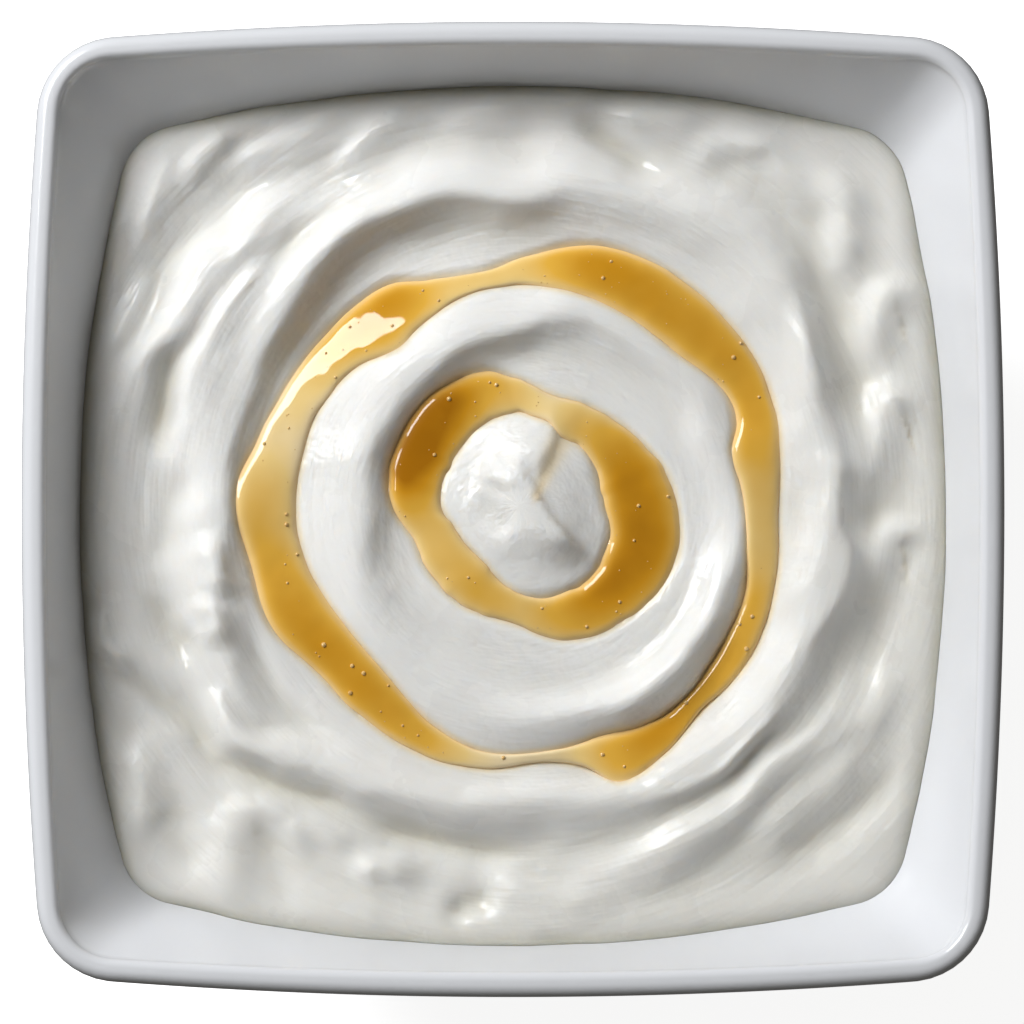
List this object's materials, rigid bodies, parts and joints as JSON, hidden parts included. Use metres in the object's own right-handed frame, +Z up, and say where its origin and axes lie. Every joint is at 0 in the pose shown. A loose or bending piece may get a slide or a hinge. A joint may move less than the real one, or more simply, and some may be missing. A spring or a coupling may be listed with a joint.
{
  "type": "bowl of yogurt",
  "caption": "Square white porcelain bowl with bowed sides, filled with thick white yogurt stirred into a swirl round a small peak, with rings of honey in its grooves.",
  "frame": {"origin": "centre of the foot ring's lower face, under the middle of the bowl", "axes": "+Z up, +X and +Y square to the bowl's sides"},
  "size_m": [0.1302, 0.1292, 0.05],
  "materials": {
    "porcelain": "gloss",
    "yogurt": "satin",
    "honey": "gloss"
  },
  "bodies": {
    "root": {"bowl": "porcelain", "yogurt": "yogurt", "honey_outer_ring": "honey", "honey_inner_ring": "honey"}
  },
  "joints": []
}
